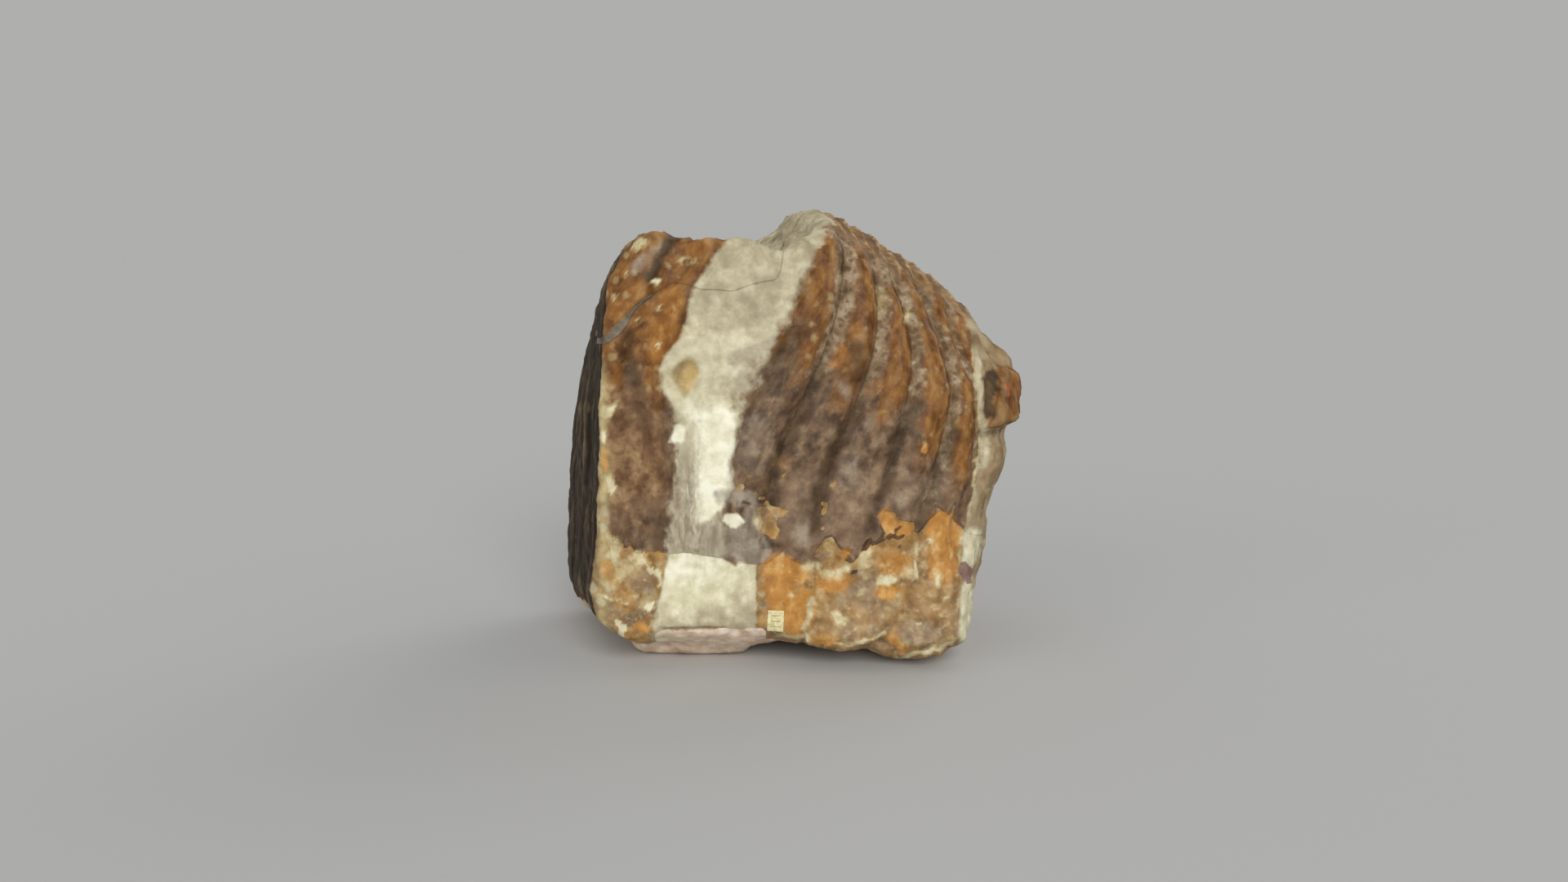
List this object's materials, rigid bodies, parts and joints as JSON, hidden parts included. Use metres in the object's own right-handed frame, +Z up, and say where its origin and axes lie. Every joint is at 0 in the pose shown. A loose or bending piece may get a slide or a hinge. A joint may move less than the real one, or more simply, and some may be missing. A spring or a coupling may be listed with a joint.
{
  "type": "fossil mammoth molar",
  "caption": "Broken block of a fossil mammoth cheek tooth, ribbed by curved enamel plates in cement, standing on its root stumps, with a small bare paper label.",
  "frame": {"origin": "middle of the block's bounding box, on the surface that the root stumps stand on", "axes": "+X along the tooth row towards the sloping end, -Y towards the labelled cheek side, +Z up to the chewing surface"},
  "size_m": [0.1604, 0.0873, 0.1499],
  "materials": {
    "fossil_tooth": "mineral-stained enamel, dentine and cement, dull to satin",
    "paper_label": "aged uncoated paper"
  },
  "bodies": {
    "root": {"molar": "fossil_tooth", "number_label": "paper_label"}
  },
  "joints": []
}
